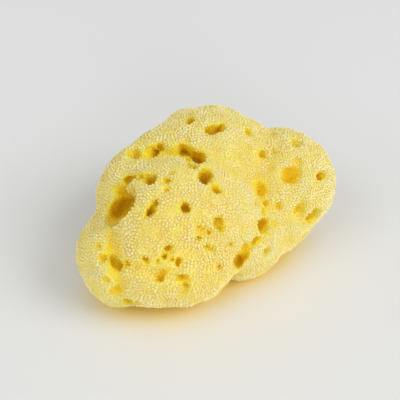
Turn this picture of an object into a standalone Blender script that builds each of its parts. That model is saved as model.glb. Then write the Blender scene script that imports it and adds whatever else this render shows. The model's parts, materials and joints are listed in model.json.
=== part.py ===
"""A natural bath sponge, dried and cut from its rock: one body of lobes with round holes sunk in it."""

import math
import random

import bmesh
import bpy
from mathutils import Euler, Matrix, Vector
from mathutils.bvhtree import BVHTree

MM = 0.001

# Lobes: name, centre and half sizes in mm, turn about Z in degrees.
# +X runs along the sponge, -Y is its front, and Z = 0 is where it was cut from its rock.
LOBES = (
    ("front_face", (-10.5, -7, 26), (29.5, 25, 26), -8),
    ("crown", (8.5, 12, 33), (26, 21.5, 21.8), 0),
    ("nape", (-6, 14, 30.5), (19.6, 17.3, 20.8), 0),
    ("tail", (34.3, -2.4, 26.2), (18.8, 20.2, 19.8), 0),
    ("left_foot", (-36.3, -6.6, 17.2), (14, 18.8, 17.4), 0),
    ("left_shoulder", (-16.5, 11, 29), (20.3, 17.3, 20.2), 28),
    ("front_foot", (-18.9, -17, 19.5), (24, 17.6, 18), -15),
    ("ledge", (12, -15.6, 15.6), (18, 12.8, 16.2), 8),
    ("right_foot", (27.5, -9.5, 19), (16, 14.2, 18.5), 25),
    ("belly", (3, 8, 18), (34, 22, 22.5), 0),
    ("back_left", (-16, 19, 17), (18, 13, 18.5), 20),
    ("back_right", (24, 17, 21), (18, 15, 19), -25),
    ("back_foot", (4, 24, 12.5), (15, 12, 15.5), 0),
)
LOBE_CELL = 1.6
LOBE_SOFTENING = 7

# Uneven growth over all lobes: how far the skin swells in or out, and over what distance.
SWELL = 1.2
SWELL_ACROSS = 14

# Holes that the front shows, placed from the heart of the sponge: name, degrees around it
# (0 is +X, 90 the back), degrees up, length, width and depth in mm, turn of the length from level.
HEART = (0, 0, 24)
FRONT_HOLES = (
    ("cave", -174, 26, 17.6, 11.9, 9.0, 82),
    ("cave_deep", -172, 26, 14.4, 6.8, 15.0, 46),
    ("cave_top", 174, 31, 5.9, 5.1, 5.0, 59),
    ("bean_left", 39, 72, 4.5, 4.3, 6.0, 80),
    ("bean_right", 29, 67, 5.3, 3.3, 6.0, 24),
    ("saddle_far", 148, 45, 5.6, 5.3, 4.5, -20),
    ("saddle_mid", 145, 55, 5.3, 4.1, 5.0, -52),
    ("saddle_near", 139, 61, 3.4, 2.9, 3.0, -59),
    ("crown_low", 108, 76, 2.9, 2.9, 3.0, -72),
    ("crown_left", 81, 64, 3.6, 2.7, 3.0, -11),
    ("gorge_left", 143, 78, 6.3, 4.1, 8.0, -20),
    ("gorge_right", -136, 84, 7.0, 4.8, 10.0, -35),
    ("gorge_slit", -124, 69, 7.1, 2.0, 5.5, 26),
    ("well", -104, 65, 8.8, 4.7, 8.5, 11),
    ("well_foot", -97, 54, 4.1, 2.4, 4.5, 8),
    ("shoulder_hole", -169, 49, 6.3, 4.7, 6.0, 33),
    ("shoulder_left", 175, 38, 4.2, 3.2, 4.0, 16),
    ("shoulder_right", -150, 53, 3.5, 3.4, 3.5, 62),
    ("slit", -148, 38, 6.1, 2.5, 7.0, -89),
    ("brow", -126, 41, 4.1, 3.7, 6.5, 42),
    ("cheek", -100, 33, 4.3, 3.7, 5.5, -25),
    ("cheek_low", -114, 27, 3.7, 3.2, 5.5, 62),
    ("chin_left", -139, 25, 3.1, 2.7, 4.5, 64),
    ("ring", -132, 17, 3.4, 3.1, 5.0, 0),
    ("knee", -126, 10, 4.5, 3.4, 6.0, 57),
    ("knee_left", -133, 6, 4.8, 2.8, 5.5, 13),
    ("knee_low", -123, 2, 5.1, 3.5, 4.0, -22),
    ("toe", -124, -7, 4.1, 3.2, 2.5, 77),
    ("ankle", -157, 6, 6.9, 4.1, 6.0, -84),
    ("ankle_right", -153, 5, 2.8, 2.5, 4.5, 70),
    ("shin", -146, 7, 3.6, 2.4, 4.0, 24),
    ("heel", -152, -8, 5.6, 4.6, 4.0, 57),
    ("tail_top", -6, 30, 5.3, 4.4, 4.0, -19),
    ("tail_inner", -9, 36, 2.9, 2.9, 4.0, 8),
    ("tail_dip", -20, 34, 4.4, 3.7, 2.5, -87),
    ("link_top", 8, 49, 4.8, 3.6, 2.2, -40),
    ("link_dip", -11, 53, 9.2, 5.9, 2.2, -29),
    ("tail_eye", -27, 26, 7.3, 6.5, 8.0, 27),
    ("tail_brow", -21, 28, 5.2, 4.1, 3.0, -10),
    ("tail_tip", -23, 16, 4.7, 4.6, 5.0, -48),
    ("tail_low", -31, -2, 7.0, 6.4, 6.5, -85),
    ("tail_low_left", -36, 6, 4.6, 4.3, 5.0, -17),
    ("seam_top", -34, 26, 6.1, 3.3, 5.0, 57),
    ("seam_mid", -58, 9, 6.2, 5.2, 6.5, 40),
    ("seam_low", -69, 2, 6.8, 3.4, 4.0, -22),
    ("seam_foot", -80, 1, 7.6, 4.8, 4.5, -30),
    ("hook", -88, -1, 7.6, 4.6, 10.0, 55),
    ("sole_left", -103, 1, 3.0, 2.8, 4.0, 71),
)

# Holes that don't run straight in from the skin: the way that each opens, in degrees around and up.
SLANTS = {
    "cave_deep": (-128, 42),
    "gorge_left": (-115, 58),
    "gorge_right": (-115, 52),
    "hook": (-115, 42),
}

# Creases where two lobes met and didn't grow together: name, width and depth in mm, then the
# places that each runs through, in degrees around and up from the heart.
CREASES = (
    (
        "left_foot_seam",
        5.5,
        3.2,
        ((185, 18), (192, 16), (198, 12), (201, 9), (205, 5), (208, 0), (210, -4), (212, -11)),
    ),
    ("dome_top", 3.8, 2.8, ((161, 36), (157, 44), (153, 53), (148, 63), (151, 74), (210, 78), (245, 70))),
    ("tail_seam", 4.0, 2.2, ((-34, 16), (-35, 8), (-36, 0), (-36, -8))),
    ("chin", 5.0, 1.4, ((207, 5), (212, 6), (218, 7), (224, 6), (231, 5), (237, 1), (241, -7))),
)
CREASE_STEPS = 5
CREASE_SIDES = 10

# Holes of the sides that the front doesn't show: the same kinds, scattered by rule where the
# surface turns away from the front's line of sight, with a wall left between them.
FRONT_SIGHT = (-0.31, -0.67, 0.67)
BACK_FACING = 0.1
BACK_HOLES = 34
BACK_SEED = 11
BACK_WALL = 2.0
BACK_WIDTHS = (2.6, 6.2)
BACK_UP = (-24, 72)
BACK_LOWEST = 5

# The finished skin: how fine it is cut before it is thinned, and the share of faces that stays.
SKIN_CELL = 0.9
SKIN_SOFTENING = 3
SKIN_KEPT = 0.125
ROCK_SIDE = 200


def clear_scene():
    for obj in list(bpy.data.objects):
        bpy.data.objects.remove(obj)


def collection(name, hidden=False):
    made = bpy.data.collections.new(name)
    made.hide_render = hidden
    bpy.context.scene.collection.children.link(made)
    return made


def lobe_mesh():
    """All lobes as overlapping closed ellipsoids in one mesh."""
    bm = bmesh.new()
    for _, centre, half, turn in LOBES:
        place = Matrix.LocRotScale(
            Vector(centre) * MM, Euler((0, 0, math.radians(turn))), Vector(half) * MM
        )
        bmesh.ops.create_icosphere(bm, subdivisions=4, radius=1.0, matrix=place)
    mesh = bpy.data.meshes.new("sponge")
    bm.to_mesh(mesh)
    bm.free()
    return mesh


def surface_of(obj):
    return BVHTree.FromObject(obj, bpy.context.evaluated_depsgraph_get())


def direction(around, up):
    a, e = math.radians(around), math.radians(up)
    return Vector((math.cos(a) * math.cos(e), math.sin(a) * math.cos(e), math.sin(e)))


def mouth(surface, way):
    """The point of the surface in a direction from the heart, and the way out of it there."""
    point = surface.ray_cast(Vector(HEART) * MM, way)[0]
    near = surface.find_nearest_range(point, 4 * MM)
    return point, sum((hit[1] for hit in near), Vector()).normalized()


def add_hole(bm, point, out, length, width, depth, turn):
    """One closed ellipsoid whose widest round is the mouth of the hole."""
    level = Vector((0, 0, 1)).cross(out).normalized()
    axes = Matrix((level, out.cross(level), out)).transposed().to_4x4()
    place = Matrix.Translation(point) @ axes @ Matrix.Rotation(math.radians(turn), 4, "Z")
    size = Matrix.Diagonal((length / 2 * MM, width / 2 * MM, depth * MM, 1))
    bmesh.ops.create_icosphere(bm, subdivisions=3, radius=1.0, matrix=place @ size)


def add_crease(bm, surface, width, depth, places):
    """One closed groove cutter along the surface, which thins to a point at both ends."""
    stops = [direction(around, up) for around, up in places]
    path = [stops[0]]
    for start, end in zip(stops, stops[1:]):
        path += [start.lerp(end, (k + 1) / CREASE_STEPS) for k in range(CREASE_STEPS)]
    run = [mouth(surface, way) for way in path]
    rings = [[bm.verts.new(run[0][0])]]
    for k in range(1, len(run) - 1):
        point, out = run[k]
        across = (run[k + 1][0] - run[k - 1][0]).cross(out).normalized()
        full = math.sqrt(math.sin(math.pi * k / (len(run) - 1)))
        ring = []
        for side in range(CREASE_SIDES):
            turn = 2 * math.pi * side / CREASE_SIDES
            offset = across * (math.cos(turn) * width / 2) + out * (math.sin(turn) * depth)
            ring.append(bm.verts.new(point + offset * full * MM))
        rings.append(ring)
    rings.append([bm.verts.new(run[-1][0])])
    faces = []
    for near, far in zip(rings, rings[1:]):
        for side in range(CREASE_SIDES):
            after = (side + 1) % CREASE_SIDES
            corners = [near[side % len(near)], near[after % len(near)]]
            corners += [far[after % len(far)], far[side % len(far)]]
            faces.append(bm.faces.new(dict.fromkeys(corners)))
    bmesh.ops.recalc_face_normals(bm, faces=faces)


def back_holes(surface, taken):
    """Holes at random places, each kept if it is free of the others and out of the front's sight."""
    rng = random.Random(BACK_SEED)
    sight = Vector(FRONT_SIGHT)
    made = []
    while len(made) < BACK_HOLES:
        around, up = rng.uniform(-180, 180), rng.uniform(*BACK_UP)
        width = BACK_WIDTHS[0] + (BACK_WIDTHS[1] - BACK_WIDTHS[0]) * rng.random() ** 2
        length = rng.uniform(1, 1.6) * width
        depth = rng.uniform(0.7, 1.2) * width
        turn = rng.uniform(0, 180)
        point, out = mouth(surface, direction(around, up))
        free = all(
            (point - other).length > ((length + reach) / 2 + BACK_WALL) * MM
            for other, reach in taken
        )
        if free and out.dot(sight) < BACK_FACING and point.z > BACK_LOWEST * MM:
            taken.append((point, length))
            made.append((point, out, length, width, depth, turn))
    return made


def hole_mesh(surface):
    bm = bmesh.new()
    taken = []
    for name, around, up, length, width, depth, turn in FRONT_HOLES:
        point, out = mouth(surface, direction(around, up))
        if name in SLANTS:
            out = direction(*SLANTS[name])
        taken.append((point, length))
        add_hole(bm, point, out, length, width, depth, turn)
    for hole in back_holes(surface, taken):
        add_hole(bm, *hole)
    for _, width, depth, places in CREASES:
        add_crease(bm, surface, width, depth, places)
    mesh = bpy.data.meshes.new("holes")
    bm.to_mesh(mesh)
    bm.free()
    return mesh


def rock_mesh():
    """A block under Z = 0, which leaves the flat cut that the sponge rests on."""
    bm = bmesh.new()
    side = ROCK_SIDE * MM
    bmesh.ops.create_cube(bm, size=side, matrix=Matrix.Translation((0, 0, -side / 2)))
    mesh = bpy.data.meshes.new("rock")
    bm.to_mesh(mesh)
    bm.free()
    return mesh


def cutter(name, mesh, cutters):
    obj = bpy.data.objects.new(name, mesh)
    obj.hide_render = True
    obj.display_type = "WIRE"
    cutters.objects.link(obj)
    return obj


def voxel(obj, name, cell):
    remesh = obj.modifiers.new(name, "REMESH")
    remesh.mode = "VOXEL"
    remesh.voxel_size = cell * MM
    remesh.use_smooth_shade = True


def soften(obj, name, times):
    smooth = obj.modifiers.new(name, "SMOOTH")
    smooth.factor = 0.5
    smooth.iterations = times


def cut(obj, name, other):
    boolean = obj.modifiers.new(name, "BOOLEAN")
    boolean.operation = "DIFFERENCE"
    boolean.solver = "EXACT"
    boolean.use_self = True
    boolean.object = other


def swell(obj):
    """The slow, uneven swelling that keeps the lobes from being true ellipsoids."""
    clouds = bpy.data.textures.new("lumps", "CLOUDS")
    clouds.noise_scale = SWELL_ACROSS * MM
    displace = obj.modifiers.new("uneven growth", "DISPLACE")
    displace.texture = clouds
    displace.texture_coords = "LOCAL"
    displace.mid_level = 0.5
    displace.strength = 2 * SWELL * MM


def stand_over_origin(body, place):
    """Moves everything so that the middle of the finished body is over the origin."""
    mesh = body.evaluated_get(bpy.context.evaluated_depsgraph_get()).data
    for axis in (0, 1):
        reach = [vertex.co[axis] for vertex in mesh.vertices]
        place.location[axis] = -(min(reach) + max(reach)) / 2


def sponge_material():
    material = bpy.data.materials.new("dried sponge fibre")
    material.use_nodes = True
    shader = material.node_tree.nodes["Principled BSDF"]
    shader.inputs["Base Color"].default_value = (0.83, 0.66, 0.22, 1)
    shader.inputs["Roughness"].default_value = 0.95
    shader.inputs["Metallic"].default_value = 0.0
    return material


def main():
    clear_scene()
    parts = collection("Sea sponge")
    cutters = collection("Cutters", hidden=True)
    mesh = lobe_mesh()
    mesh.materials.append(sponge_material())
    body = bpy.data.objects.new("sponge", mesh)
    parts.objects.link(body)
    voxel(body, "merge lobes", LOBE_CELL)
    soften(body, "soften valleys", LOBE_SOFTENING)
    swell(body)
    holes = cutter("hole cutters", hole_mesh(surface_of(body)), cutters)
    cut(body, "holes", holes)
    voxel(body, "even skin", SKIN_CELL)
    soften(body, "soften rims", SKIN_SOFTENING)
    coarsen = body.modifiers.new("coarsen", "DECIMATE")
    coarsen.ratio = SKIN_KEPT
    rock = cutter("rock", rock_mesh(), cutters)
    cut(body, "cut from the rock", rock)
    place = bpy.data.objects.new("place", None)
    parts.objects.link(place)
    for obj in (body, holes, rock):
        obj.parent = place
    stand_over_origin(body, place)


main()
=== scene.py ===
"""A natural bath sponge on a pale table: its pitted skin, the fibre tufts on it and the studio."""

import json
import math
import random

import bmesh
import bpy
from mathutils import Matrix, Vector, noise
from mathutils.bvhtree import BVHTree
from mathutils.kdtree import KDTree

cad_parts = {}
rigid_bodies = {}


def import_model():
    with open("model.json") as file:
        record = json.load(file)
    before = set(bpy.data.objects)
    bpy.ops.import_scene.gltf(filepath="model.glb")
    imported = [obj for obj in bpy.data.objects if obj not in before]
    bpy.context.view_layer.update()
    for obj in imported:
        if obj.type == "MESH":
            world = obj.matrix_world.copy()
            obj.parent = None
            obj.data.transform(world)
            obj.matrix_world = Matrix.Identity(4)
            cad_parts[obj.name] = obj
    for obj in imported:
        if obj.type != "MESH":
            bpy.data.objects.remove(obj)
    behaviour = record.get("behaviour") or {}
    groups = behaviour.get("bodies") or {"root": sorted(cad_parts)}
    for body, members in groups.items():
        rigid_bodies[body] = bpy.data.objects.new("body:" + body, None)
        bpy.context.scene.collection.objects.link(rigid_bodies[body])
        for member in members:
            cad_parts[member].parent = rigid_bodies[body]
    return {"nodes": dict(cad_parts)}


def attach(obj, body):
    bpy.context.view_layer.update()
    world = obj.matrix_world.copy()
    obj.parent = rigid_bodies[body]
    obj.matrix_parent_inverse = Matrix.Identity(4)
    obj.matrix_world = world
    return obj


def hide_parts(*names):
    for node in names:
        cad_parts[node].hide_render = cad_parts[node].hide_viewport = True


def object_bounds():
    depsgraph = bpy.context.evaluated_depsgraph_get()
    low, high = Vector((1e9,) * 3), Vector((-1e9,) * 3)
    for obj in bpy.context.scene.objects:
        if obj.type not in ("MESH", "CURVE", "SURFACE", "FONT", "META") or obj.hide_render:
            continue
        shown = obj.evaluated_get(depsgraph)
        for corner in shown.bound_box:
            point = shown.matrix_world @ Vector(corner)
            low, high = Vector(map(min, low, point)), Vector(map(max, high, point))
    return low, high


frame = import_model()
cad_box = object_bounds()
MM = 0.001


# The skin: the dried skeleton of the sponge, one springy mass of horny fibre that grew in lobes.
# The pits are the mouths of its water channels, kept open by washing. The tufts stand on it, so it
# lies a tuft's height under the sponge's outer form.

# The middle of the body, which the small channel mouths are placed round.
HEART = Vector((-1.37, -0.88, 24)) * MM
# The spacing of the skin's mesh, in mm, and how its remeshed steps are eased.
SKIN_CELL = 0.57
EASE = 0.5
EASE_TURNS = 3
# How far the skin lies under the outer form, in mm. In a pit it lies less far under.
SKIN_UNDER = 0.98
UNDER_FALL = 1.3
UNDER_LEAST = 0.2
# A face that points down more than this, at the very bottom, is the flat cut on the table.
CUT_FACING = -0.7
# The growth is coarse on the front dome and finer and lower away from it.
FRONT_DOME = Vector((-19, -22, 30)) * MM
FINER_FROM = 14 * MM
FINER_TO = 30 * MM
LOWER = 0.4
# Uneven growth: over what distance the skin wanders, and how far, in mm. It keeps still at the flat
# cut and wanders in full from a little above it.
WANDER = ((6.0, 0.6), (2.4, 0.35))
WANDER_SEED = 7
WANDER_FULL = 3 * MM
# How much further it wanders where it is closed in, so that the rims of the pits are ragged.
RAGGED = 2.0
# How far round a point looks for the sponge, and with how many rays: a first look and a full one.
FIRST_LOOK = {"Reach": 6 * MM, "Rays": 24}
FULL_LOOK = {"Reach": 11 * MM, "Rays": 64}
# The rays start a little off the skin. What they meet is raised to a power and blurred.
RAY_START = 4e-4
SHELTER_CURVE = 0.65
SHELTER_BLUR = 2
# Small channel mouths that the front shows: degrees around the heart, degrees up, width and depth
# in mm.
FINE_PITS = (
    (-149, 34, 2.6, 3.6),
    (-148, 39, 2.0, 2.6),
    (-178, 45, 2.1, 2.2),
    (-150, 32, 2.4, 1.4),
    (-134, 13, 1.6, 2.2),
    (-130, 12, 1.3, 1.6),
    (-111, 18, 1.7, 2.0),
    (-116, 23, 1.6, 1.8),
    (-109, 26, 1.5, 1.6),
    (-151, 6, 2.0, 1.8),
    (-156, 2, 2.4, 2.4),
    (-63, -10, 2.2, 2.2),
    (-42, 18, 2.0, 2.0),
    (-54, 27, 2.2, 1.4),
    (-50, 15, 2.0, 1.5),
    (-50, 5, 2.3, 1.4),
    (8, 32, 2.4, 1.4),
    (79, 62, 2.4, 2.0),
    (136, 58, 2.2, 2.2),
    (-152, 59, 1.9, 1.3),
    (-7, 38, 2.7, 2.6),
    (12, 48, 2.8, 1.6),
    (-157, -2, 2.4, 1.3),
    (-143, 10, 2.0, 2.0),
    (-137, 10, 1.3, 1.4),
    (-108, 15, 1.9, 1.5),
    (-122, -3, 2.2, 1.8),
    (-135, 2, 2.4, 1.6),
    (-167, 8, 2.1, 1.2),
    (-40, 13, 2.3, 1.6),
    (-30, -17, 2.1, 1.6),
    (-100, 27, 1.9, 1.4),
    (-145, 48, 2.1, 1.3),
    (-95, 52, 2.4, 2.6),
    (172, 36, 2.6, 2.4),
    (-133, 73, 3.0, 3.0),
    (-178, 78, 2.2, 2.2),
    (-148, -15, 4.4, 3.4),
    (-162, 5, 2.8, 2.2),
    (-116, 30, 1.3, 1.4),
    (139, 53, 2.2, 2.6),
    (-94, 14, 1.9, 1.4),
    (-20, 14, 2.6, 2.2),
    (-27, -5, 2.8, 2.4),
)
# A dent reaches this share of its width, and only into skin that faces its mouth. Its edge strays
# by a share of that reach, over the distance in mm.
PIT_REACH = 0.72
PIT_FACING = 0.2
TORN = 0.45
TORN_OVER = 1.1
# More of them on the sides that the front doesn't show, scattered by rule: widths in mm, depths as
# a share of the width, and degrees up. None is near the table.
FRONT_SIGHT = Vector((-0.31, -0.67, 0.67))
FRONT_FACING = 0.1
FAR_PITS = 110
FAR_SEED = 3
FAR_WIDTH = (1.3, 2.8)
FAR_DEPTH = (0.7, 1.1)
FAR_UP = (-30, 75)
FAR_LOWEST = 4 * MM


def node(tree, kind, inputs=None, **settings):
    """Adds a node. Each input is another node's output or a plain value."""
    made = tree.nodes.new(kind)
    for name, value in settings.items():
        setattr(made, name, value)
    for name, value in (inputs or {}).items():
        if isinstance(value, bpy.types.NodeSocket):
            tree.links.new(value, made.inputs[name])
        else:
            made.inputs[name].default_value = value
    return made


def maths(tree, operation, *values):
    """A sum, product or other step on plain numbers."""
    made = node(tree, "ShaderNodeMath", dict(enumerate(values)), operation=operation)
    return made.outputs[0]


def vectors(tree, operation, *values):
    """The same on vectors."""
    made = node(tree, "ShaderNodeVectorMath", dict(enumerate(values)), operation=operation)
    return made.outputs["Value" if operation == "DOT_PRODUCT" else "Vector"]


def apart(tree, place):
    """The three coordinates of a place, as X, Y and Z."""
    return node(tree, "ShaderNodeSeparateXYZ", {"Vector": place}).outputs


def together(tree, x, y, z=0.0):
    """A vector from its three coordinates."""
    return node(tree, "ShaderNodeCombineXYZ", {"X": x, "Y": y, "Z": z}).outputs[0]


def kept_as(tree, geometry, name, value, kind="FLOAT", domain="POINT"):
    """The geometry with a value stored on it under a name."""
    return node(
        tree,
        "GeometryNodeStoreNamedAttribute",
        {"Geometry": geometry, "Name": name, "Value": value},
        data_type=kind,
        domain=domain,
    ).outputs["Geometry"]


def geometry_tree(name, **inputs):
    """A Geometry Nodes tree with a geometry in and out and the named inputs, and its two end nodes."""
    tree = bpy.data.node_groups.new(name, "GeometryNodeTree")
    tree.interface.new_socket("Geometry", in_out="INPUT", socket_type="NodeSocketGeometry")
    tree.interface.new_socket("Geometry", in_out="OUTPUT", socket_type="NodeSocketGeometry")
    for label, kind in inputs.items():
        tree.interface.new_socket(label, in_out="INPUT", socket_type="NodeSocket" + kind)
    return tree, tree.nodes.new("NodeGroupInput"), tree.nodes.new("NodeGroupOutput")


def with_tree(obj, tree, **values):
    """Puts the tree on the object as a modifier, with its inputs set."""
    modifier = obj.modifiers.new(tree.name, "NODES")
    modifier.node_group = tree
    for item in tree.interface.items_tree:
        if item.in_out == "INPUT" and item.name in values:
            modifier[item.identifier] = values[item.name]


def made_mesh(obj, name):
    """The object's mesh with its modifiers applied, which are then taken off it."""
    graph = bpy.context.evaluated_depsgraph_get()
    mesh = bpy.data.meshes.new_from_object(obj.evaluated_get(graph))
    mesh.name = name
    obj.modifiers.clear()
    return mesh


def ray_way(tree, turn, rays):
    """The way of one ray out of many that are spread evenly over a ball."""
    height = maths(tree, "DIVIDE", maths(tree, "MULTIPLY_ADD", turn, 2.0, 1.0), rays)
    height = maths(tree, "SUBTRACT", 1.0, height)
    across = maths(tree, "SQRT", maths(tree, "SUBTRACT", 1.0, maths(tree, "MULTIPLY", height, height)))
    angle = maths(tree, "MULTIPLY", turn, math.pi * (3 - math.sqrt(5)))
    return together(
        tree,
        maths(tree, "MULTIPLY", across, maths(tree, "COSINE", angle)),
        maths(tree, "MULTIPLY", across, maths(tree, "SINE", angle)),
        height,
    )


def shelter_tree():
    """How closed in each point is by the sponge round it: 0 on a bare dome, 1 deep in a pit."""
    tree, given, out = geometry_tree("shelter", Reach="Float", Rays="Int")
    place = node(tree, "GeometryNodeInputPosition").outputs[0]
    normal = node(tree, "GeometryNodeInputNormal").outputs[0]
    start = vectors(tree, "ADD", place, vectors(tree, "MULTIPLY", normal, (RAY_START,) * 3))
    enter = tree.nodes.new("GeometryNodeRepeatInput")
    leave = tree.nodes.new("GeometryNodeRepeatOutput")
    enter.pair_with_output(leave)
    leave.repeat_items.clear()
    leave.repeat_items.new("FLOAT", "Met")
    leave.repeat_items.new("FLOAT", "Tried")
    tree.links.new(given.outputs["Rays"], enter.inputs["Iterations"])
    way = ray_way(tree, enter.outputs["Iteration"], given.outputs["Rays"])
    facing = maths(tree, "MAXIMUM", vectors(tree, "DOT_PRODUCT", normal, way), 0.0)
    ray = node(
        tree,
        "GeometryNodeRaycast",
        {
            "Target Geometry": given.outputs["Geometry"],
            "Source Position": start,
            "Ray Direction": way,
            "Ray Length": given.outputs["Reach"],
        },
    )
    share = maths(tree, "DIVIDE", ray.outputs["Hit Distance"], given.outputs["Reach"])
    close = maths(tree, "MULTIPLY", ray.outputs["Is Hit"], maths(tree, "SUBTRACT", 1.0, share))
    met = maths(tree, "MULTIPLY_ADD", facing, close, enter.outputs["Met"])
    tree.links.new(met, leave.inputs["Met"])
    tree.links.new(maths(tree, "ADD", facing, enter.outputs["Tried"]), leave.inputs["Tried"])
    shelter = maths(tree, "DIVIDE", leave.outputs["Met"], leave.outputs["Tried"])
    shelter = maths(tree, "POWER", shelter, SHELTER_CURVE)
    softer = node(tree, "GeometryNodeBlurAttribute", {"Value": shelter, "Iterations": SHELTER_BLUR})
    stored = kept_as(tree, given.outputs["Geometry"], "shelter", softer.outputs[0])
    tree.links.new(stored, out.inputs["Geometry"])
    return tree


def cad_copy(name):
    """A copy of the sponge's solid with its loose triangles joined."""
    bm = bmesh.new()
    bm.from_mesh(frame["nodes"]["sponge"].data)
    bmesh.ops.remove_doubles(bm, verts=bm.verts, dist=1e-6)
    mesh = bpy.data.meshes.new(name)
    bm.to_mesh(mesh)
    bm.free()
    obj = bpy.data.objects.new(name, mesh)
    bpy.context.scene.collection.objects.link(obj)
    return obj


def remesh(obj):
    """Rounds the solid's facets and gives it a mesh of even cells."""
    rounder = obj.modifiers.new("round the facets", "SUBSURF")
    rounder.levels = rounder.render_levels = 1
    cells = obj.modifiers.new("even cells", "REMESH")
    cells.mode = "VOXEL"
    cells.voxel_size = SKIN_CELL * MM
    ease = obj.modifiers.new("ease the steps", "SMOOTH")
    ease.factor = EASE
    ease.iterations = EASE_TURNS


def wander(mesh):
    """Lets the skin stray from its even form, so that no dome or pit rim is quite round."""
    noise.seed_set(WANDER_SEED)
    shelter = mesh.attributes["shelter"].data
    lowest = min(vertex.co.z for vertex in mesh.vertices)
    for vertex in mesh.vertices:
        share = min(1.0, (vertex.co.z - lowest) / WANDER_FULL)
        share *= 1 + RAGGED * shelter[vertex.index].value
        for across, by in WANDER:
            vertex.co += noise.noise_vector(vertex.co / (across * MM)) * by * MM * share


def draw_in(mesh):
    """Moves the skin in by a tuft's height, except where the flat cut lies on the table."""
    ways = [vertex.normal.copy() for vertex in mesh.vertices]
    shelter = mesh.attributes["shelter"].data
    lowest = min(vertex.co.z for vertex in mesh.vertices)
    for vertex, way in zip(mesh.vertices, ways):
        on_table = way.z < CUT_FACING and vertex.co.z < lowest + MM
        fine = ((vertex.co - FRONT_DOME).length - FINER_FROM) / (FINER_TO - FINER_FROM)
        under = SKIN_UNDER * (1 - LOWER * min(max(fine, 0.0), 1.0))
        share = max(UNDER_LEAST, 1 - UNDER_FALL * shelter[vertex.index].value)
        vertex.co -= way * under * MM * share
        if on_table:
            vertex.co.z = lowest


def far_pits():
    """The scattered channel mouths, given as the front's are."""
    rng = random.Random(FAR_SEED)
    pits = []
    for _ in range(FAR_PITS):
        width = rng.uniform(*FAR_WIDTH)
        around, up = rng.uniform(-180, 180), rng.uniform(*FAR_UP)
        pits.append((around, up, width, width * rng.uniform(*FAR_DEPTH)))
    return tuple(pits)


def sink_fine_pits(mesh):
    """Presses the small channel mouths into the skin as round-bottomed dents."""
    surface = BVHTree.FromPolygons(
        [vertex.co for vertex in mesh.vertices], [polygon.vertices for polygon in mesh.polygons]
    )
    ways = [vertex.normal.copy() for vertex in mesh.vertices]
    near = KDTree(len(mesh.vertices))
    for vertex in mesh.vertices:
        near.insert(vertex.co, vertex.index)
    near.balance()
    for index, (around, up, width, depth) in enumerate(FINE_PITS + far_pits()):
        a, e = math.radians(around), math.radians(up)
        way = Vector((math.cos(a) * math.cos(e), math.sin(a) * math.cos(e), math.sin(e)))
        mouth, out = surface.ray_cast(HEART, way)[:2]
        in_sight = out.dot(FRONT_SIGHT) > FRONT_FACING
        if index >= len(FINE_PITS) and (in_sight or mouth.z < FAR_LOWEST):
            continue
        reach = PIT_REACH * width * MM
        for place, vertex, away in near.find_range(mouth, reach * (1 + TORN)):
            edge = reach * (1 + TORN * noise.noise(place / (TORN_OVER * MM)))
            if away < edge and ways[vertex].dot(out) > PIT_FACING:
                mesh.vertices[vertex].co -= out * depth * MM * (1 - (away / edge) ** 3)


skin = cad_copy("sponge_skin")
remesh(skin)
skin.data = made_mesh(skin, "sponge_skin")
closed_in = shelter_tree()
with_tree(skin, closed_in, **FIRST_LOOK)
skin.data = made_mesh(skin, "sponge_skin")
wander(skin.data)
draw_in(skin.data)
sink_fine_pits(skin.data)
with_tree(skin, closed_in, **FULL_LOOK)
skin.data = made_mesh(skin, "sponge_skin")
for polygon in skin.data.polygons:
    polygon.use_smooth = True

# The colours of dried fibre by how deep a point counts, from 0 to 1: cream, straw, gold and brown
# gold.
# The depth comes mostly from how closed in a point is, so the gold in the creases and the brown gold
# in the holes are painted shade.
FIBRE_AND_SHADE_COLOURS = (
    (0.0, (0.985, 0.895, 0.55, 1)),
    (0.25, (0.98, 0.845, 0.36, 1)),
    (0.5, (0.97, 0.78, 0.15, 1)),
    (0.75, (0.95, 0.725, 0.028, 1)),
    (1.0, (0.76, 0.485, 0.005, 1)),
)
# The tail is thin enough to be lit from within, and that light is painted into its colour as a lighter
# tone:
# where along the length that starts and is full.
TAIL_GLOW_FROM = 4 * MM
TAIL_GLOW_TO = 24 * MM
# How deep the bare skin counts, painted shade among the tufts; how much deeper a pit does, painted
# shade in the pits; and how much less of that in the tail, painted light from within.
SKIN_PAINTED_SHADE = 0.44
PIT_PAINTED_SHADE = 1.05
SKIN_PAINTED_GLOW = 0.5
# Mottling of the colour, and the fine mesh of fibre that roughens the skin.
MOTTLE = 0.3
MOTTLE_SCALE = 900.0
FIBRE_MESH_SCALE = 2600.0
FIBRE_MESH_HEIGHT = 0.0003
FIBRE_MESH_STRENGTH = 0.6


def finer(tree, place):
    """How fine the growth is at a place: 0 on the front dome, 1 away from it."""
    away = vectors(tree, "SUBTRACT", place, tuple(FRONT_DOME))
    away = maths(tree, "SQRT", vectors(tree, "DOT_PRODUCT", away, away))
    return node(
        tree,
        "ShaderNodeMapRange",
        {"Value": away, "From Min": FINER_FROM, "From Max": FINER_TO},
        interpolation_type="SMOOTHSTEP",
    ).outputs["Result"]


def paler(tree, place, by):
    """A share of 1 that falls by so much towards the thin tail, where light from within is painted."""
    thin = node(
        tree,
        "ShaderNodeMapRange",
        {"Value": apart(tree, place)["X"], "From Min": TAIL_GLOW_FROM, "From Max": TAIL_GLOW_TO},
        interpolation_type="SMOOTHSTEP",
    ).outputs["Result"]
    return maths(tree, "MULTIPLY_ADD", thin, -by, 1.0)


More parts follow.
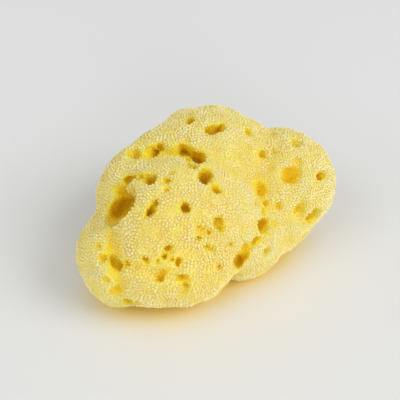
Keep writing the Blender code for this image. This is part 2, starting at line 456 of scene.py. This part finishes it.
def fibre_and_shade_colour():
    """The group that turns a depth into a colour: cream at the bare end, deepening towards painted
    shade at the deep end.
    """
    group = bpy.data.node_groups.new("fibre colour", "ShaderNodeTree")
    group.interface.new_socket("Depth", in_out="INPUT", socket_type="NodeSocketFloat")
    group.interface.new_socket("Colour", in_out="OUTPUT", socket_type="NodeSocketColor")
    given, out = group.nodes.new("NodeGroupInput"), group.nodes.new("NodeGroupOutput")
    ramp = node(group, "ShaderNodeValToRGB", {"Fac": given.outputs["Depth"]})
    stops = ramp.color_ramp.elements
    while len(stops) < len(FIBRE_AND_SHADE_COLOURS):
        stops.new(0.5)
    for stop, (at, colour) in zip(stops, FIBRE_AND_SHADE_COLOURS):
        stop.position = at
        stop.color = colour
    group.links.new(ramp.outputs["Color"], out.inputs["Colour"])
    return group


def fibre_material(name, roughness, shine, scattering, tint, reach):
    """A matt material that lets light into the fibre. Its colour is set later."""
    material = bpy.data.materials.new(name)
    material.use_nodes = True
    shader = material.node_tree.nodes["Principled BSDF"]
    shader.inputs["Roughness"].default_value = roughness
    shader.inputs["Specular IOR Level"].default_value = shine
    shader.inputs["Subsurface Weight"].default_value = scattering
    shader.inputs["Subsurface Radius"].default_value = tint
    shader.inputs["Subsurface Scale"].default_value = reach
    return material, material.node_tree, shader


def colour_by(tree, shader, group, depth):
    """Gives the shader the fibre's colour at the depth."""
    colour = tree.nodes.new("ShaderNodeGroup")
    colour.node_tree = group
    tree.links.new(depth, colour.inputs["Depth"])
    tree.links.new(colour.outputs["Colour"], shader.inputs["Base Color"])


def skin_material(group):
    """The skin's colour: deeper than the tufts and deeper still in the pits, painted shade, lighter in
    the tail, painted light from within, mottled, and rough with fibre.
    """
    material, tree, shader = fibre_material(
        "sponge skin", roughness=0.95, shine=0.15, scattering=0.8, tint=(1.0, 0.6, 0.12), reach=8 * MM
    )
    shelter = node(tree, "ShaderNodeAttribute", attribute_name="shelter").outputs["Fac"]
    spot = node(tree, "ShaderNodeTexCoord").outputs["Object"]
    # Painted shade: the skin deepens in colour among the tufts and in the pits, less so in the tail.
    pits = maths(tree, "MULTIPLY", shelter, PIT_PAINTED_SHADE)
    depth = maths(tree, "MULTIPLY", pits, paler(tree, spot, SKIN_PAINTED_GLOW))
    depth = maths(tree, "ADD", depth, SKIN_PAINTED_SHADE)
    mottle = node(tree, "ShaderNodeTexNoise", {"Vector": spot, "Scale": MOTTLE_SCALE, "Detail": 3.0})
    stray = maths(tree, "MULTIPLY_ADD", mottle.outputs[0], MOTTLE, -MOTTLE / 2)
    colour_by(tree, shader, group, maths(tree, "ADD", depth, stray))
    mesh = node(tree, "ShaderNodeTexVoronoi", {"Vector": spot, "Scale": FIBRE_MESH_SCALE})
    relief = node(
        tree,
        "ShaderNodeBump",
        {
            "Height": mesh.outputs["Distance"],
            "Distance": FIBRE_MESH_HEIGHT,
            "Strength": FIBRE_MESH_STRENGTH,
        },
    )
    tree.links.new(relief.outputs["Normal"], shader.inputs["Normal"])
    return material


depth_shaded_colour = fibre_and_shade_colour()
skin.data.materials.clear()
skin.data.materials.append(skin_material(depth_shaded_colour))
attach(skin, "root")
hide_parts("sponge")


# The tufts: all over the skin the fibres run together into small peaks a millimetre apart, with
# their ends free. They are part of the sponge, lighter at the tips and deeper in colour at the roots,
# which is painted shade among them, and lower inside the pits, where their colour deepens as painted
# shade.

TUFT_PARTS = ("tufts_left", "tufts_middle_left", "tufts_middle_right", "tufts_right", "tufts_tail")
# The least distance between tufts in each part, in mm, and how many are tried to a square mm.
TUFT_SPACING = (1.06, 1.04, 0.96, 0.88, 0.85)
TUFT_DENSITY = 8.0
TUFT_SEED = 4
# No tuft stands lower on the skin than this, and no tip reaches lower than the rest.
TUFT_LOWEST = 0.3 * MM
TUFT_REST = 0.02 * MM
TUFT_KINDS = 8
TUFT_LEAN = 0.22
# The peak of a tuft: radius and height of its rings and the height of its top, in mm, and the
# shares of the radius between which its ribs stray.
PEAK = ((0.52, -0.2), (0.45, 0.3), (0.28, 0.68))
PEAK_TOP = 0.82
PEAK_SIDES = 5
PEAK_RIBS = (0.82, 1.15)
# Its free strands: how many, how high the tallest reaches and how thick each is, in mm, and how
# unevenly they stand round. Then the range in which roots and tips lie: out from the tuft's middle
# and up from the skin, in mm, where a tip's height is a share of the tallest.
STRANDS = 8
STRAND_TOP = 1.2
STRAND_THICK = 0.075
STRAND_STRAY = 0.3
ROOT_OUT = (0.38, 0.50)
ROOT_UP = (-0.1, 0.15)
ROOT_ALONG = 0.1
TIP_OUT = (0.05, 0.34)
TIP_UP = (0.6, 1.0)
# Tufts grow in patches of this size, in mm. Where the noise is under the even value they are sunk.
CLUMP = 4.5
CLUMP_EVEN = 0.68
# How deep a tuft counts by its shelter, which deepens its colour as painted shade in the pits, and
# what else makes it golden.
DEEP_BY = 0.4
DEEP_BY_SQUARE = 0.85
GOLD_PAINTED_SHADE = 1.12
GOLD_PAINTED_GLOW = 0.06
GOLD_FINE = 0.13
GOLD_SUNK = 0.6
GOLD_LUCK = 0.05
# A tuft's size as a share of a full one: what it has on a bare dome, less by how deep and how sunk
# it is, held between the least and the most, and strayed by luck.
SIZE_BARE = 1.17
SIZE_DEEP = 1.3
SIZE_SUNK = 0.8
SIZE_LEAST = 0.35
SIZE_MOST = 1.15
SIZE_LUCK = 0.24
# How much deeper in colour a strand is at its root, painted shade among the tufts, and how much less
# that shows in fine growth.
ROOT_PAINTED_SHADE = 0.4
ROOT_FINE = 0.7
# The chart for the bake: across it goes a tuft's tone and a little of the place round the tuft, up
# it how near the root a point is. Its edge stays clear.
CHART_TONE = 0.85
CHART_BESIDE = 0.03
CHART_ROOT = 0.96
CHART_EDGE = 0.02


def peak(bm, along, beside, rng):
    """The matted middle of a tuft: a ribbed cone of fibre drawn up from the skin."""
    turned = rng.uniform(0, 2 * math.pi)
    rings = []
    for radius, height in PEAK:
        ring = []
        for k in range(PEAK_SIDES):
            turn = turned + 2 * math.pi * k / PEAK_SIDES
            out = radius * rng.uniform(*PEAK_RIBS)
            vertex = bm.verts.new((out * math.cos(turn) * MM, out * math.sin(turn) * MM, height * MM))
            vertex[along] = max(0.0, height) / STRAND_TOP
            vertex[beside] = k / PEAK_SIDES
            ring.append(vertex)
        rings.append(ring)
    top = bm.verts.new((0, 0, PEAK_TOP * MM))
    top[along] = PEAK_TOP / STRAND_TOP
    top[beside] = 0.5
    for low, high in zip(rings, rings[1:]):
        for k in range(PEAK_SIDES):
            n = (k + 1) % PEAK_SIDES
            bm.faces.new((low[k], low[n], high[n], high[k]))
    for k in range(PEAK_SIDES):
        bm.faces.new((rings[-1][k], rings[-1][(k + 1) % PEAK_SIDES], top))


def strand(bm, along, beside, root, tip):
    """One free fibre end: a thin three-sided spike from its root on the peak to its tip."""
    aim = (tip - root).normalized()
    across = aim.cross(Vector((0, 0, 1))).normalized()
    over = across.cross(aim)
    ring = []
    for k in range(3):
        turn = 2 * math.pi * k / 3
        offset = (across * math.cos(turn) + over * math.sin(turn)) * STRAND_THICK
        vertex = bm.verts.new((root + offset) * MM)
        vertex[along] = ROOT_ALONG
        vertex[beside] = k / 2
        ring.append(vertex)
    end = bm.verts.new(tip * MM)
    end[along] = 1.0
    end[beside] = 0.5
    for k in range(3):
        bm.faces.new((ring[k], ring[(k + 1) % 3], end))


def tuft(kind):
    """One tuft: its peak and the free strands that lean together round it."""
    rng = random.Random(kind)
    bm = bmesh.new()
    along = bm.verts.layers.float.new("along")
    beside = bm.verts.layers.float.new("beside")
    peak(bm, along, beside, rng)
    for k in range(STRANDS):
        turn = 2 * math.pi * (k + rng.uniform(-STRAND_STRAY, STRAND_STRAY)) / STRANDS
        out = Vector((math.cos(turn), math.sin(turn), 0))
        root = out * rng.uniform(*ROOT_OUT) + Vector((0, 0, rng.uniform(*ROOT_UP)))
        tip = out * rng.uniform(*TIP_OUT) + Vector((0, 0, STRAND_TOP * rng.uniform(*TIP_UP)))
        strand(bm, along, beside, root, tip)
    mesh = bpy.data.meshes.new(f"tuft_{kind}")
    bmesh.ops.recalc_face_normals(bm, faces=bm.faces)
    bm.to_mesh(mesh)
    bm.free()
    return bpy.data.objects.new(f"tuft_{kind}", mesh)


def carried(tree, name):
    """A value that the mesh carries under a name."""
    return node(
        tree, "GeometryNodeInputNamedAttribute", {"Name": name}, data_type="FLOAT"
    ).outputs["Attribute"]


def chance(tree, low, high, seed):
    """A number drawn for each tuft. Inputs 2 and 3 are the least and the most."""
    return node(
        tree, "FunctionNodeRandomValue", {2: low, 3: high, "Seed": seed}, data_type="FLOAT"
    ).outputs[1]


def rooted_points(tree, given, place):
    """Where the tufts stand and how each is turned: evenly spaced, in one stretch of the length."""
    points = node(
        tree,
        "GeometryNodeDistributePointsOnFaces",
        {
            "Mesh": given.outputs["Geometry"],
            "Distance Min": given.outputs["Spacing"],
            "Density Max": given.outputs["Density"],
            "Seed": given.outputs["Seed"],
        },
        distribute_method="POISSON",
    )
    spot = apart(tree, place)
    inside = maths(
        tree,
        "MULTIPLY",
        maths(tree, "GREATER_THAN", spot["X"], given.outputs["From"]),
        maths(tree, "LESS_THAN", spot["X"], given.outputs["To"]),
    )
    inside = maths(tree, "MULTIPLY", inside, maths(tree, "GREATER_THAN", spot["Z"], TUFT_LOWEST))
    kept = node(
        tree,
        "GeometryNodeSeparateGeometry",
        {"Geometry": points.outputs["Points"], "Selection": inside},
        domain="POINT",
    )
    turned = node(
        tree,
        "FunctionNodeRotateRotation",
        {
            "Rotation": points.outputs["Rotation"],
            "Rotate By": together(
                tree,
                chance(tree, -TUFT_LEAN, TUFT_LEAN, 7),
                chance(tree, -TUFT_LEAN, TUFT_LEAN, 8),
                chance(tree, -math.pi, math.pi, 9),
            ),
        },
        rotation_space="LOCAL",
    )
    return kept.outputs["Selection"], turned.outputs[0]


def growth(tree, place, fine):
    """How golden each tuft is, with painted shade in the pits and painted light from within towards
    the tail, and its scale: small in the pits, and lower in fine growth.
    """
    shelter = carried(tree, "shelter")
    luck = chance(tree, 0.0, 1.0, 5)
    patch = node(tree, "ShaderNodeTexNoise", {"Scale": 1 / (CLUMP * MM), "Detail": 1.0})
    sunk = maths(tree, "SUBTRACT", CLUMP_EVEN, patch.outputs[0])
    deep = maths(tree, "MULTIPLY_ADD", shelter, DEEP_BY_SQUARE, DEEP_BY)
    deep = maths(tree, "MULTIPLY", shelter, deep)
    # Painted shade: the deeper in a pit a tuft stands, the more golden; towards the tail it is
    # lighter, painted light from within.
    gold = maths(tree, "MULTIPLY", deep, GOLD_PAINTED_SHADE)
    gold = maths(tree, "MULTIPLY", gold, paler(tree, place, GOLD_PAINTED_GLOW))
    gold = maths(tree, "MULTIPLY_ADD", fine, GOLD_FINE, gold)
    gold = maths(tree, "MULTIPLY_ADD", sunk, GOLD_SUNK, gold)
    gold = maths(tree, "MULTIPLY_ADD", luck, GOLD_LUCK, gold)
    size = maths(tree, "MULTIPLY_ADD", sunk, SIZE_SUNK, maths(tree, "MULTIPLY", deep, SIZE_DEEP))
    size = maths(tree, "SUBTRACT", SIZE_BARE, size)
    size = maths(tree, "MINIMUM", maths(tree, "MAXIMUM", size, SIZE_LEAST), SIZE_MOST)
    lucky = maths(tree, "MULTIPLY_ADD", luck, SIZE_LUCK, 1 - SIZE_LUCK / 2)
    size = maths(tree, "MULTIPLY", size, lucky)
    tall = maths(tree, "MULTIPLY", size, maths(tree, "MULTIPLY_ADD", fine, -LOWER, 1.0))
    return maths(tree, "MAXIMUM", gold, 0.0), together(tree, size, size, tall)


def tufts_tree(kinds, material):
    """Sets tufts on the skin and keeps on them what their colour is read from."""
    tree, given, out = geometry_tree(
        "tufts", From="Float", To="Float", Spacing="Float", Density="Float", Seed="Int"
    )
    place = node(tree, "GeometryNodeInputPosition").outputs[0]
    fine = finer(tree, place)
    points, turned = rooted_points(tree, given, place)
    gold, scale = growth(tree, place, fine)
    sorts = node(
        tree,
        "GeometryNodeCollectionInfo",
        {"Collection": kinds, "Separate Children": True, "Reset Children": True},
    )
    standing = node(
        tree,
        "GeometryNodeInstanceOnPoints",
        {
            "Points": kept_as(tree, points, "tone", gold),
            "Instance": sorts.outputs[0],
            "Pick Instance": True,
            "Rotation": turned,
            "Scale": scale,
        },
    )
    solid = node(tree, "GeometryNodeRealizeInstances", {"Geometry": standing.outputs[0]})
    ends = apart(tree, place)
    rest = together(tree, ends["X"], ends["Y"], maths(tree, "MAXIMUM", ends["Z"], TUFT_REST))
    pressed = node(
        tree, "GeometryNodeSetPosition", {"Geometry": solid.outputs[0], "Position": rest}
    ).outputs[0]
    rooted = maths(tree, "SUBTRACT", 1.0, carried(tree, "along"))
    rooted = maths(tree, "MULTIPLY", rooted, maths(tree, "MULTIPLY_ADD", fine, -ROOT_FINE, 1.0))
    shaded = kept_as(tree, pressed, "rooted", rooted)
    beside = maths(tree, "MULTIPLY_ADD", carried(tree, "beside"), CHART_BESIDE, CHART_EDGE)
    chart = together(
        tree,
        maths(tree, "MULTIPLY_ADD", carried(tree, "tone"), CHART_TONE, beside),
        maths(tree, "MULTIPLY_ADD", carried(tree, "rooted"), CHART_ROOT, CHART_EDGE),
    )
    charted = kept_as(tree, shaded, "OFBake", chart, kind="FLOAT2", domain="CORNER")
    painted = node(tree, "GeometryNodeSetMaterial", {"Geometry": charted, "Material": material})
    tree.links.new(painted.outputs[0], out.inputs["Geometry"])
    return tree


def tuft_material(group):
    """The tufts' colour: each tuft's tone, which holds painted shade in the pits, and deeper towards
    the root as painted shade among the tufts.
    """
    material, tree, shader = fibre_material(
        "sponge tuft", roughness=0.85, shine=0.2, scattering=0.6, tint=(1.0, 0.6, 0.15), reach=3 * MM
    )
    tone = node(tree, "ShaderNodeAttribute", attribute_name="tone").outputs["Fac"]
    rooted = node(tree, "ShaderNodeAttribute", attribute_name="rooted").outputs["Fac"]
    # Painted shade: the colour deepens towards each strand's root.
    colour_by(tree, shader, group, maths(tree, "MULTIPLY_ADD", rooted, ROOT_PAINTED_SHADE, tone))
    return material


kinds = bpy.data.collections.new("tuft kinds")
bpy.context.scene.collection.children.link(kinds)
for kind in range(TUFT_KINDS):
    kinds.objects.link(tuft(kind))
growing = tufts_tree(kinds, tuft_material(depth_shaded_colour))
left_end, right_end = (corner.x for corner in cad_box)
stretch = (right_end - left_end) / len(TUFT_PARTS)
for index, (name, spacing) in enumerate(zip(TUFT_PARTS, TUFT_SPACING)):
    standing_on = skin.copy()
    standing_on.data = skin.data.copy()
    bpy.context.scene.collection.objects.link(standing_on)
    with_tree(
        standing_on,
        growing,
        From=left_end + index * stretch,
        To=left_end + (index + 1) * stretch,
        Spacing=spacing * MM,
        Density=TUFT_DENSITY / MM**2,
        Seed=TUFT_SEED,
    )
    piece = bpy.data.objects.new(name, made_mesh(standing_on, name))
    bpy.data.objects.remove(standing_on)
    bpy.context.scene.collection.objects.link(piece)
    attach(piece, "root")
for obj in list(kinds.objects):
    bpy.data.objects.remove(obj)
bpy.data.collections.remove(kinds)


# The table top: a plain pale board, wide enough that its edge is never in the picture. Near the sponge
# its colour is painted golden, a painted glow of light bounced off and passed through the sponge's
# fringe, the more so the nearer the sponge is.

BOARD_HALF = 3.0
BOARD = (0.70, 0.705, 0.70, 1)
# The painted glow's gold, how far round a point it looks for the sponge, how strong it is and how fast
# it falls off.
PAINTED_BOUNCE_GOLD = (0.75, 0.61, 0.20, 1)
PAINTED_BOUNCE_REACH = 13 * MM
PAINTED_BOUNCE_STRENGTH = 2.1
PAINTED_BOUNCE_FALL = 2.4


def board_material():
    """The board's colour, with a painted golden glow where the sponge is near."""
    material = bpy.data.materials.new("pale board")
    material.use_nodes = True
    tree = material.node_tree
    shader = tree.nodes["Principled BSDF"]
    shader.inputs["Roughness"].default_value = 0.6
    # Painted bounce light: the board's colour turns golden where the sponge closes in a point, in
    # place of light from the sponge.
    clear = node(tree, "ShaderNodeAmbientOcclusion", {"Distance": PAINTED_BOUNCE_REACH}, samples=16)
    nearness = maths(tree, "SUBTRACT", 1.0, clear.outputs["AO"])
    nearness = maths(tree, "POWER", nearness, PAINTED_BOUNCE_FALL)
    # Inputs 6 and 7 and output 2 are the mix node's colours.
    painted_bounce = node(
        tree,
        "ShaderNodeMix",
        {"Factor": maths(tree, "MULTIPLY", nearness, PAINTED_BOUNCE_STRENGTH), 6: BOARD, 7: PAINTED_BOUNCE_GOLD},
        data_type="RGBA",
    )
    tree.links.new(painted_bounce.outputs[2], shader.inputs["Base Color"])
    return material


bm = bmesh.new()
bmesh.ops.create_grid(bm, x_segments=1, y_segments=1, size=BOARD_HALF)
table_mesh = bpy.data.meshes.new("table_top")
bm.to_mesh(table_mesh)
bm.free()
table_mesh.materials.append(board_material())
table_top = bpy.data.objects.new("table_top", table_mesh)
bpy.context.scene.collection.objects.link(table_top)


# The light: a bright room, with one wide window to the right of the sponge, a weaker one to the
# left and one low in front.

CENTRE = Vector((-1.37, -0.88, 27)) * MM
ROOM_COLOUR = (0.97, 0.985, 1.0, 1)
ROOM_STRENGTH = 0.55
# Each window's place and width in metres, its watts and its colour.
WINDOWS = {
    "window_right": ((1.7, -1.8, 2.2), 2.0, 60.0, (1.0, 0.985, 0.96)),
    "window_left": ((-2.2, -0.6, 2.2), 2.0, 25.0, (0.985, 0.99, 1.0)),
    "window_front": ((-0.8, -2.8, 0.9), 1.6, 25.0, (1.0, 0.99, 0.97)),
}

world = bpy.data.worlds.new("bright room")
bpy.context.scene.world = world
world.use_nodes = True
world.node_tree.nodes["Background"].inputs["Color"].default_value = ROOM_COLOUR
world.node_tree.nodes["Background"].inputs["Strength"].default_value = ROOM_STRENGTH
for name, (place, across, watts, colour) in WINDOWS.items():
    light = bpy.data.lights.new(name, "AREA")
    light.size = across
    light.energy = watts
    light.color = colour
    window = bpy.data.objects.new(name, light)
    bpy.context.scene.collection.objects.link(window)
    window.location = Vector(place)
    window.rotation_mode = "QUATERNION"
    window.rotation_quaternion = (Vector(place) - CENTRE).to_track_quat("Z", "Y")
bpy.context.scene.cycles.diffuse_bounces = 8


# The camera: it looks down on the sponge from its left front, from a hand's reach away, through a
# lens that is long for so small a thing.

LENS = 85
AROUND = -25
UP = 42
AWAY = 0.350

camera = bpy.data.objects.new("camera", bpy.data.cameras.new("camera"))
bpy.context.scene.collection.objects.link(camera)
camera.data.lens = LENS
camera.data.clip_start = 0.01
around, up = math.radians(AROUND), math.radians(UP)
back = Vector((math.sin(around) * math.cos(up), -math.cos(around) * math.cos(up), math.sin(up)))
camera.location = CENTRE + back * AWAY
camera.rotation_mode = "QUATERNION"
camera.rotation_quaternion = (-back).to_track_quat("-Z", "Y")
bpy.context.scene.camera = camera
bpy.context.scene.view_settings.view_transform = "Standard"
